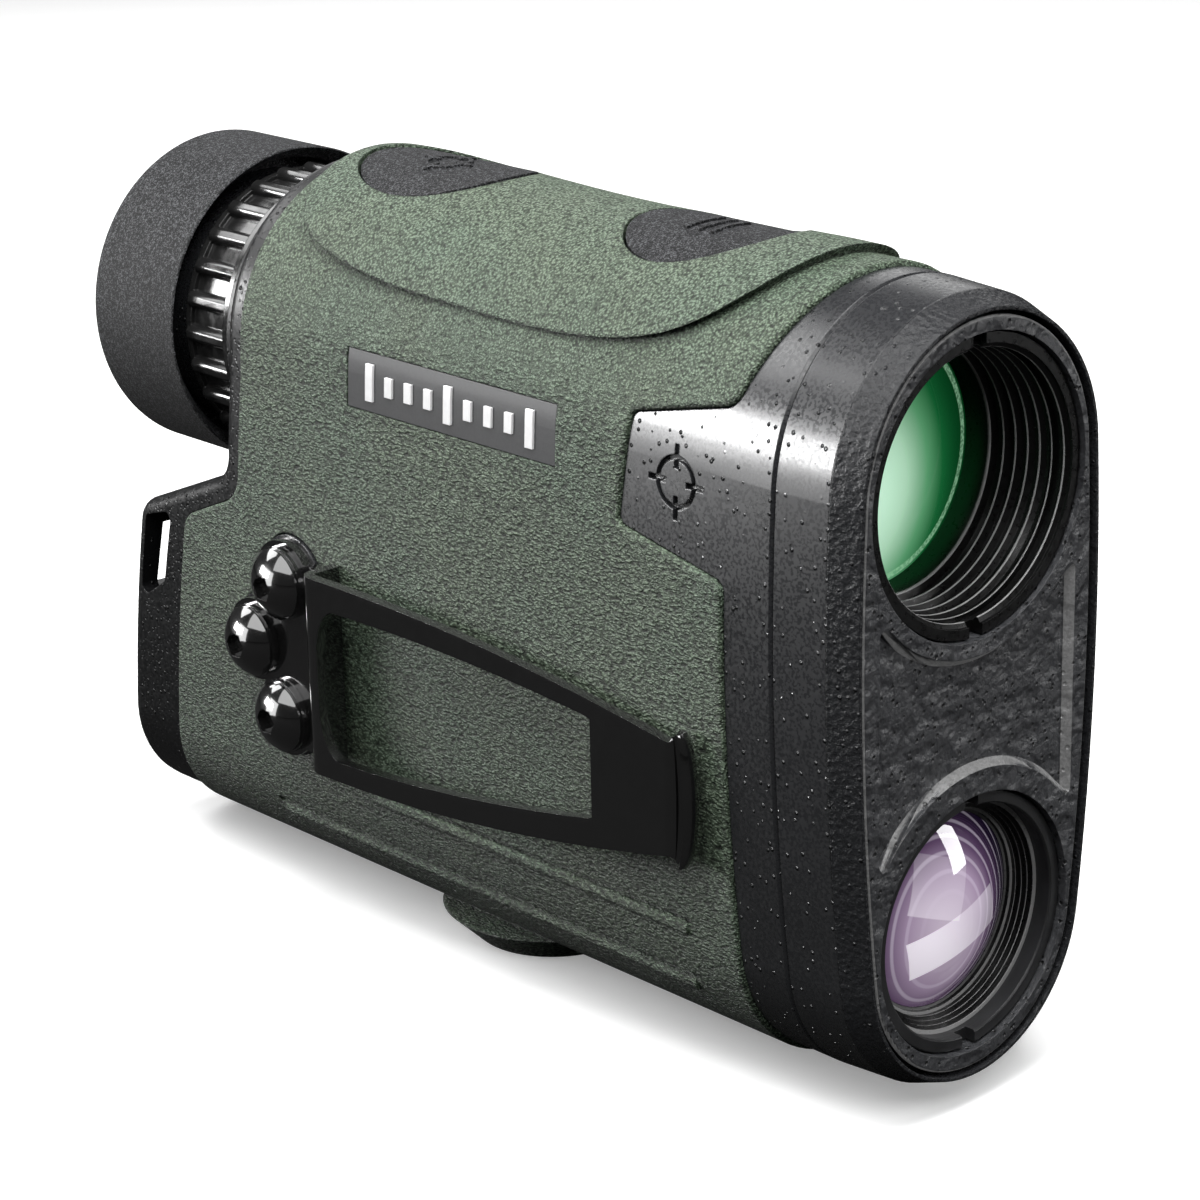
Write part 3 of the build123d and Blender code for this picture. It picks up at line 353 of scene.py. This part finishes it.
def barrel_black():
    """Anodised barrel with painted light: a painted highlight along the crests of its baffle fins and
    painted green light from the lens beside it.
    """
    made = Surface("barrel_black", roughness=0.3)
    made.soften(0.05)
    near = made.between(made.axis(1), LENS_FRONT - 1.6, LENS_FRONT + 0.6)
    # Painted highlight: a thin pale line along each fin's crest, left off beside the lens.
    behind = made.math("SUBTRACT", made.axis(1), FIN_START)
    crest = made.math("ADD", made.distance(0.0, OPTIC_Z), made.product(behind, CREST_NARROWING))
    on_crest = made.between(crest, CREST_RADIUS, CREST_RADIUS + 0.035, 1.0, 0.0)
    painted_edge_highlight = made.product(on_crest, made.between(near, 0.0, 0.1, 1.0, 0.0))
    # Painted light: green from the lens, on the black barrel just beside it.
    shade = made.mix(near, rgba(grey(0.003)), rgba((0.004, 0.05, 0.014)))
    made.set("Specular IOR Level", 0.25)
    made.set("Base Color", made.mix(painted_edge_highlight, shade, rgba(grey(0.3))))
    made.polish(made.noise(0.5, 3.0), 0.26, 0.4)
    made.bump(made.noise(0.35, 3.0), 0.012)
    return made.material


def glossy_polymer():
    """Polished black polymer of the focusing ring."""
    made = Surface("ring_polymer", roughness=0.16)
    made.soften(0.18)
    wear = made.noise(1.5, 4.0, 0.6)
    made.mottle(wear, grey(0.007), grey(0.016))
    made.polish(wear, 0.12, 0.26)
    made.bump(made.noise(0.5, 2.0), 0.006)
    return made.material


def coated_metal(name, roughness, rounding=0.14):
    """Black coating on pressed or turned steel, with a faint orange peel."""
    made = Surface(name, roughness=roughness)
    level = 0.004
    if rounding:
        made.soften(rounding)
    peel = made.noise(1.2, 2.0)
    made.mottle(made.noise(4.0, 3.0), grey(level), grey(level * 1.5))
    made.polish(peel, roughness - 0.03, roughness + 0.04)
    made.set("Specular IOR Level", 0.25)
    made.set("Coat Weight", 1.0)
    made.set("Coat Roughness", 0.05)
    made.set("Coat IOR", 1.9)
    made.bump(peel, 0.004)
    return made.material


def badge_plate():
    """Dark grey badge with a faint satin grain."""
    made = Surface("badge_polymer", roughness=0.4)
    made.soften(0.1)
    made.mottle(made.noise(0.4, 3.0), grey(0.030, 0.03), grey(0.045, 0.03))
    made.set("Specular IOR Level", 0.2)
    made.bump(made.noise(0.25, 2.0), 0.01)
    return made.material


def badge_marks():
    """Pale enamel of the raised bars."""
    made = Surface("badge_marks", roughness=0.35)
    made.soften(0.1)
    made.mottle(made.noise(0.8, 3.0), grey(0.72), grey(0.86))
    made.bump(made.noise(0.3, 2.0), 0.01)
    return made.material


# ---------------------------------------------------------------- glass

def objective_coating_and_painted_light():
    """Green lens coating with painted light: mint in the middle shading to deep green towards the edge, and
    a glow that only the camera sees.
    """
    made = Surface("objective_coating_and_painted_light", roughness=0.03)
    # Painted shading: mint near a point 4 mm to the -X side of the axis and 2.5 mm below it, deep green
    # towards the edge.
    away = made.distance(-4.0, OPTIC_Z - 2.5, squeeze=0.8)
    rim = made.distance(0.0, OPTIC_Z)
    tint = made.ramp(
        made.between(away, 0.0, 16.0),
        (0.0, (0.56, 0.85, 0.65)), (0.34, (0.42, 0.69, 0.49)),
        (0.64, (0.11, 0.36, 0.17)), (0.85, (0.008, 0.13, 0.035)), (1.0, (0.002, 0.05, 0.012)),
    )
    ring = made.product(made.between(rim, 11.3, 11.45), made.between(rim, 12.0, 12.1, 1.0, 0.0))
    speckle = made.between(made.noise(0.3, 2.0), 0.35, 0.65, 0.25, 0.75)
    colour = made.mix(made.product(ring, speckle), tint, rgba((0.32, 0.62, 0.38)))
    made.set("Base Color", colour)
    # Painted light: the lens glows to the camera though it is no lamp.
    made.glow(colour, 0.7)
    made.set("Coat Weight", 1.0)
    made.set("Coat Roughness", 0.02)
    return made.material


def receiver_coating_and_painted_light():
    """Violet filter glass with painted light: pale rings of painted reflection, two painted softbox glints,
    painted shading to a dark violet edge and a glow that only the camera sees.
    """
    made = Surface("receiver_coating_and_painted_light", roughness=0.02)
    x = made.axis(0)
    z = made.math("SUBTRACT", made.axis(2), RECEIVER_Z)
    away = made.distance(-1.5, RECEIVER_Z - 1.0, squeeze=0.8)
    # Painted reflection: pale rings inside the lens.
    rings = made.math("SINE", made.product(made.math("POWER", away, 1.5), 1.35))
    pale = made.product(made.between(rings, 0.5, 1.0), made.between(away, 2.0, 6.5))
    # Painted shading: pale violet near a point 1.5 mm to the -X side of the axis and 1 mm below it, dark
    # violet towards the edge.
    depth = made.ramp(
        made.between(away, 0.0, 10.5),
        (0.0, (0.50, 0.42, 0.52)), (0.45, (0.34, 0.25, 0.37)),
        (0.75, (0.10, 0.055, 0.12)), (1.0, (0.010, 0.005, 0.020)),
    )
    colour = made.mix(made.product(pale, 0.35), depth, rgba((0.75, 0.68, 0.80)))
    # Painted reflections: two softbox glints, fainter towards +X and upwards.
    lower = glint(made, x, z, middle=(0.0, -1.8), half=(6.2, 2.3), slant=0.25)
    upper = glint(made, x, z, middle=(-2.2, 3.6), half=(3.4, 3.2), slant=-0.35)
    fade = made.between(made.math("ADD", x, z), -7.0, 3.0, 1.0, 0.35)
    shine = made.product(made.math("ADD", lower, made.product(upper, 0.5)), fade)
    colour = made.mix(made.math("MINIMUM", shine, 1.0), colour, rgba((0.90, 0.84, 0.93)))
    made.set("Base Color", colour)
    # Painted light: the lens glows to the camera though it is no lamp.
    made.glow(colour, 0.45)
    made.set("Coat Weight", 1.0)
    made.set("Coat Roughness", 0.01)
    return made.material


def glint(made, x, z, middle, half, slant):
    """Mask of a slanted, sharp-edged softbox image on a lens, sizes in millimetres."""
    over = made.math("SUBTRACT", x, middle[0])
    up = made.math("SUBTRACT", z, middle[1])
    along = made.math("ABSOLUTE", made.math("ADD", over, made.product(up, slant)))
    rise = made.math("ABSOLUTE", made.math("SUBTRACT", up, made.product(over, slant)))
    edge = 0.15
    inside_x = made.between(along, half[0] - edge, half[0], 1.0, 0.0)
    inside_z = made.between(rise, half[1] - edge, half[1], 1.0, 0.0)
    return made.product(inside_x, inside_z)


def receiver_well():
    """Black stepped barrel with a thin painted highlight at each step."""
    made = Surface("receiver_well", roughness=0.32)
    depth = made.math("SUBTRACT", made.axis(1), WELL_START)
    place = made.math("FRACT", made.math("DIVIDE", depth, WELL_STEP))
    within = made.between(depth, WELL_LENGTH - 0.1, WELL_LENGTH + 0.1, 1.0, 0.0)
    # Painted highlight: a pale line just behind each step's edge, along the well's stepped length.
    painted_edge_highlight = made.product(made.between(place, 0.12, 0.26, 1.0, 0.0), within)
    made.mottle(painted_edge_highlight, grey(0.004), grey(0.28))
    made.polish(made.noise(0.5, 3.0), 0.26, 0.4)
    made.bump(made.noise(0.35, 3.0), 0.01)
    return made.material


def clear_glass():
    """Ground optical glass with a faint bluish coating."""
    made = Surface("optic_glass", roughness=0.02)
    made.mottle(made.noise(6.0), (0.86, 0.93, 0.95), (0.93, 0.95, 0.9))
    made.set("Transmission Weight", 0.9)
    made.set("Coat Weight", 0.6)
    made.set("Coat Tint", rgba((0.55, 0.7, 1.0)))
    return made.material


# ---------------------------------------------------------------- materials of the inside

def machined(name, colour, roughness=0.3):
    """Bare or plated metal with turning marks."""
    made = Surface(name, roughness=roughness, metallic=1.0)
    marks = made.noise(0.5, 4.0, 0.6)
    darker = tuple(channel * 0.8 for channel in colour)
    made.mottle(marks, darker, colour)
    made.polish(marks, roughness - 0.08, roughness + 0.1)
    made.bump(marks, 0.005)
    return made.material


def board_laminate():
    """Green circuit board with darker tracks."""
    made = Surface("circuit_board", roughness=0.35)
    tracks = made.between(made.cells(1.8, "DISTANCE_TO_EDGE"), 0.03, 0.07)
    made.mottle(tracks, (0.02, 0.16, 0.06), (0.01, 0.085, 0.03))
    made.bump(tracks, 0.02)
    return made.material


def plain(name, colour, roughness):
    """Moulded or printed surface with a slight mottle."""
    made = Surface(name, roughness=roughness)
    darker = tuple(channel * 0.82 for channel in colour)
    made.mottle(made.noise(1.2, 4.0), darker, colour)
    made.bump(made.noise(0.4, 2.0), 0.01)
    return made.material


def materials():
    """Every material, by the record's slot."""
    return {
        "armour_rubber": armour_rubber(),
        "grip_rubber": speckled_rubber(),
        "black_polymer": housing_polymer(),
        "bezel_polymer": bezel_polymer(),
        "face_polymer": face_polymer(),
        "badge_polymer": badge_plate(),
        "badge_marks": badge_marks(),
        "black_aluminium": anodised(),
        "ring_polymer": glossy_polymer(),
        "clip_metal": coated_metal("clip_metal", 0.13, rounding=0.0),
        "screw_steel": coated_metal("screw_steel", 0.2),
        "plain_steel": machined("plain_steel", (0.55, 0.55, 0.56)),
        "bright_steel": machined("bright_steel", (0.75, 0.75, 0.77), 0.15),
        "brass": machined("brass", (0.72, 0.54, 0.24)),
        "gold_contact": machined("gold_contact", (0.85, 0.66, 0.3), 0.2),
        "objective_glass": objective_coating_and_painted_light(),
        "receiver_glass": receiver_coating_and_painted_light(),
        "optic_glass": clear_glass(),
        "seal_rubber": plain("seal_rubber", (0.02, 0.02, 0.02), 0.5),
        "circuit_board": board_laminate(),
        "cell_sleeve": plain("cell_sleeve", (0.6, 0.57, 0.45), 0.3),
        "ribbon": plain("ribbon", (0.42, 0.2, 0.03), 0.3),
    }


def dress(finishes):
    """Gives every CAD node its material."""
    barrel = barrel_black()
    special = {
        "front_cap": nose_polymer(),
        "objective_tube": barrel,
        "objective_ring": barrel,
        "receiver_barrel": receiver_well(),
    }
    for row in frame["record"]["subparts"]:
        node = frame["nodes"][row["node"]]
        material = special.get(row["node"], finishes[row["material_slot"]])
        if not node.material_slots:
            node.data.materials.append(None)
        for place in node.material_slots:
            place.material = material


# ---------------------------------------------------------------- the belt clip

ARM_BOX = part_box("clip_arm")
BASE_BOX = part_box("clip_base")
ARM_LOW = ARM_BOX[0].z / MM
ARM_HIGH = ARM_BOX[1].z / MM
FOLD_Y = ARM_BOX[1].y / MM
TIP_Y = ARM_BOX[0].y / MM
ARM_X = ARM_BOX[0].x / MM
SEAT_X = BASE_BOX[1].x / MM

# Sizes in millimetres: the sheet, the rounding of its edges, its fold, and how far the arm leans in.
CLIP_SHEET = 1.2
CLIP_ROUNDING = 0.5
CLIP_BEND = 1.1
CLIP_LEAN = 2.5
MIDWAY_Y = FOLD_Y - 27.0
TIP_LEVELS = (26.6, 37.4)

# The rolled lip at the arm's end.
LIP_RADIUS = 0.75
LIP_LENGTH = 1.2
LIP_FLARE = 1.1

# The long opening, and the widths of the rails above and below it at the fold.
WINDOW_FRONT = TIP_Y + 10.9
WINDOW_REAR = FOLD_Y - 2.3
WINDOW_CORNER = 1.6
WINDOW_ARC = 3.2
LOWER_RAIL = 2.1
UPPER_RAIL = 3.0


def parabola(y, near, middle, far):
    """Value at y of the parabola through three (y, value) points."""
    (a, fa), (b, fb), (c, fc) = near, middle, far
    share_a = (y - b) * (y - c) / ((a - b) * (a - c))
    share_b = (y - a) * (y - c) / ((b - a) * (b - c))
    share_c = (y - a) * (y - b) / ((c - a) * (c - b))
    return fa * share_a + fb * share_b + fc * share_c


def clip_top(y):
    """Upper edge of the clip arm."""
    return parabola(y, (FOLD_Y, ARM_HIGH), (MIDWAY_Y, ARM_HIGH - 1.4), (TIP_Y, TIP_LEVELS[1]))


def clip_bottom(y):
    """Lower edge of the clip arm."""
    return parabola(y, (FOLD_Y, ARM_LOW), (MIDWAY_Y, ARM_LOW + 1.1), (TIP_Y, TIP_LEVELS[0]))


def clip_path():
    """Plan path of the strip's middle surface, from foot to rolled lip, and the end of its arm."""
    half = CLIP_SHEET / 2
    wall_y = FOLD_Y - half
    arm_x = ARM_X + half
    path = [(SEAT_X - 0.2, wall_y), (arm_x + CLIP_BEND, wall_y)]
    for turn in range(15, 91, 15):
        angle = math.radians(turn)
        path.append((arm_x + CLIP_BEND - CLIP_BEND * math.sin(angle),
                     wall_y - CLIP_BEND + CLIP_BEND * math.cos(angle)))
    steps = 110
    start_y, end_y = wall_y - CLIP_BEND - 0.4, TIP_Y + 1.9
    end_x = arm_x + CLIP_LEAN
    for index in range(steps + 1):
        share = index / steps
        path.append((arm_x + (end_x - arm_x) * share ** 1.15, start_y + (end_y - start_y) * share))
    path.append((end_x + 0.25, end_y - 0.35))
    path.append((end_x + 1.0, end_y - 0.75))
    centre = (end_x + 0.35, end_y - 1.55)
    for turn in range(60, -151, -30):
        angle = math.radians(turn)
        path.append((centre[0] + LIP_RADIUS * math.cos(angle), centre[1] + LIP_RADIUS * math.sin(angle)))
    return path, (end_x, end_y)


def window_edges(y):
    """Lower and upper edge of the long opening at station y, and whether y lies inside it."""
    inside = WINDOW_FRONT <= y <= WINDOW_REAR
    held = min(max(y, WINDOW_FRONT), WINDOW_REAR)
    forward = (WINDOW_REAR - held) / (WINDOW_REAR - WINDOW_FRONT)
    low = clip_bottom(held) + LOWER_RAIL + 0.9 * forward
    high = clip_top(held) - UPPER_RAIL + 1.2 * forward
    middle = (low + high) / 2
    to_front = min(held - WINDOW_FRONT, WINDOW_CORNER)
    nip = WINDOW_CORNER - math.sqrt(max(WINDOW_CORNER**2 - (WINDOW_CORNER - to_front)**2, 0.0))
    into_arc = max(held - (WINDOW_REAR - WINDOW_ARC), 0.0) / WINDOW_ARC
    keep = max(math.sqrt(max(1 - into_arc**2, 0.0)) ** 0.75, 0.04)
    return middle + (low + nip - middle) * keep, middle + (high - nip - middle) * keep, inside


def levels_between(low, high, count):
    """Levels that start at low and stop one step short of high."""
    return [low + (high - low) * index / count for index in range(count)]


def make_clip(material):
    """One pressed strip, from the fold beside the screws to the rolled lip."""
    path, (end_x, end_y) = clip_path()
    mesh = bmesh.new()
    rows_side, rows_middle = 5, 4
    columns = []
    for x, y in path:
        low, high, inside = window_edges(y)
        inside = inside and x < min(SEAT_X - 2.0, ARM_X + 4.5)
        flare = LIP_FLARE * min(max(end_y - y, 0.0) / LIP_LENGTH, 1.0)
        bottom = clip_bottom(max(y, TIP_Y)) - flare
        top = clip_top(max(y, TIP_Y)) + flare
        levels = levels_between(bottom, low, rows_side)
        levels += levels_between(low, high, rows_middle)
        levels += levels_between(high, top, rows_side) + [top]
        column = []
        for z in levels:
            off = (2 * z - top - bottom) / (top - bottom + 0.4)
            swell = 1.0 if y >= end_y else 0.35 + 0.65 * math.sqrt(1 - off**2)
            place = (end_x + (x - end_x) * swell, end_y + (y - end_y) * swell, z)
            column.append(mesh.verts.new(Vector(place) * MM))
        columns.append((column, inside))
    for (first, hole), (second, also) in zip(columns, columns[1:]):
        for row in range(len(first) - 1):
            if hole and also and rows_side <= row < rows_side + rows_middle:
                continue
            mesh.faces.new((first[row], first[row + 1], second[row + 1], second[row]))
    return solid_piece("clip_strip", mesh, material, CLIP_SHEET * 0.97, CLIP_ROUNDING)


def solid_piece(name, mesh, material, thickness, rounding):
    """Turns a sheet into a rounded solid object with applied modifiers."""
    bmesh.ops.recalc_face_normals(mesh, faces=mesh.faces)
    data = bpy.data.meshes.new(name)
    mesh.to_mesh(data)
    mesh.free()
    piece = bpy.data.objects.new(name, data)
    bpy.context.scene.collection.objects.link(piece)
    data.materials.append(material)
    thick = piece.modifiers.new("thickness", "SOLIDIFY")
    thick.thickness = thickness * MM
    thick.offset = 0.0
    round_off = piece.modifiers.new("rounding", "BEVEL")
    round_off.width = rounding * MM
    round_off.segments = 4
    round_off.limit_method = "ANGLE"
    round_off.angle_limit = math.radians(50)
    apply_modifiers(piece)
    piece.data.shade_smooth()
    return piece


def apply_modifiers(piece):
    """Replaces a piece's mesh with its evaluated one."""
    bpy.context.view_layer.update()
    seen = piece.evaluated_get(bpy.context.evaluated_depsgraph_get())
    finished = bpy.data.meshes.new_from_object(seen)
    piece.modifiers.clear()
    piece.data = finished


# ---------------------------------------------------------------- studio

FLOOR_REACH = 6.0
SURROUND_LEVEL = 0.05

CAMERA_AZIMUTH = -42.5
CAMERA_ELEVATION = 19.17
CAMERA_ROLL = -1.34
CAMERA_DISTANCE = 359.7 * MM
CAMERA_LENS = 104.2
AIM_OFFSET = Vector((3.8, -4.8, -2.7)) * MM


def direction(azimuth, elevation):
    """Unit vector away from the object: azimuth 0 is in front of the nose, 90 on its +X side."""
    around, up = math.radians(azimuth), math.radians(elevation)
    return Vector((math.sin(around) * math.cos(up), -math.cos(around) * math.cos(up), math.sin(up)))


def object_middle():
    """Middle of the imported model's box."""
    return (cad_bounds[0] + cad_bounds[1]) / 2


def softbox(name, azimuth, elevation, size, power, distance=0.62, sheen_only=False):
    """Rectangular light on a sphere round the object, facing it; it may light reflections only."""
    lamp = bpy.data.lights.new(name, "AREA")
    lamp.shape = "RECTANGLE"
    lamp.size, lamp.size_y = size
    lamp.energy = power
    holder = bpy.data.objects.new(name, lamp)
    away = direction(azimuth, elevation)
    holder.location = object_middle() + away * distance
    holder.rotation_mode = "QUATERNION"
    holder.rotation_quaternion = (-away).to_track_quat("-Z", "Y")
    holder.visible_diffuse = not sheen_only
    bpy.context.scene.collection.objects.link(holder)


def make_floor():
    """Pale floor: bright to the camera, dark in reflections."""
    mesh = bmesh.new()
    level = cad_bounds[0].z - 0.05 * MM
    sides = ((-1, -1), (1, -1), (1, 1), (-1, 1))
    mesh.faces.new([mesh.verts.new((x * FLOOR_REACH, y * FLOOR_REACH, level)) for x, y in sides])
    data = bpy.data.meshes.new("floor")
    mesh.to_mesh(data)
    mesh.free()
    floor = bpy.data.objects.new("floor", data)
    bpy.context.scene.collection.objects.link(floor)
    paint = Surface("floor_paint", roughness=0.8)
    seen = paint.node("ShaderNodeLightPath", {}).outputs["Is Camera Ray"]
    tone = paint.mix(paint.noise(60.0, 2.0), rgba(grey(0.86)), rgba(grey(0.90)))
    paint.set("Base Color", paint.mix(seen, rgba(grey(0.025)), tone))
    paint.glow(rgba(grey(1.0)), 0.28)
    paint.set("Specular IOR Level", 0.0)
    data.materials.append(paint.material)


def make_surround():
    """World that is white to the camera and nearly dark to everything else."""
    world = bpy.data.worlds.new("surround")
    bpy.context.scene.world = world
    world.use_nodes = True
    tree = world.node_tree
    sky = tree.nodes["Background"]
    sky.inputs[0].default_value = rgba(grey(1.0))
    seen = tree.nodes.new("ShaderNodeLightPath").outputs["Is Camera Ray"]
    level = tree.nodes.new("ShaderNodeMapRange")
    tree.links.new(seen, level.inputs[0])
    level.inputs[3].default_value = SURROUND_LEVEL
    level.inputs[4].default_value = 1.0
    tree.links.new(level.outputs[0], sky.inputs[1])


def make_lights():
    """Soft lights by azimuth, elevation, size in metres and power in watts."""
    softbox("overhead", -30, 78, (0.5, 0.32), 6.0)
    softbox("shoulder", -131, 13, (0.34, 0.13), 7.5, sheen_only=True)
    softbox("shoulder_glow", -120, 7, (0.09, 0.08), 0.13, distance=0.175, sheen_only=True)
    softbox("rear_left", -163, 42, (0.40, 0.25), 2.2)
    softbox("left_front", -82, 46, (0.30, 0.22), 0.75, distance=0.34)
    softbox("right_front", 44, 10, (0.14, 0.34), 1.3)
    softbox("front_top", -27, 41, (0.2, 0.2), 1.2)
    softbox("rear_rim", 139, 23, (0.5, 0.24), 0.6)


def make_camera():
    """Camera at the front left, a little above, with a long lens."""
    away = direction(CAMERA_AZIMUTH, CAMERA_ELEVATION)
    lens = bpy.data.cameras.new("camera")
    lens.lens = CAMERA_LENS
    lens.sensor_width = 36.0
    lens.clip_start = 0.01
    camera = bpy.data.objects.new("camera", lens)
    camera.location = object_middle() + AIM_OFFSET + away * CAMERA_DISTANCE
    camera.rotation_mode = "QUATERNION"
    level = (-away).to_track_quat("-Z", "Y")
    camera.rotation_quaternion = level @ Euler((0.0, 0.0, math.radians(CAMERA_ROLL))).to_quaternion()
    bpy.context.scene.collection.objects.link(camera)
    bpy.context.scene.camera = camera


finishes = materials()
dress(finishes)

clip = make_clip(finishes["clip_metal"])
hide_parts("clip_arm")
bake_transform(clip)

make_floor()
make_surround()
make_lights()
make_camera()
bpy.context.scene.view_settings.view_transform = "Standard"
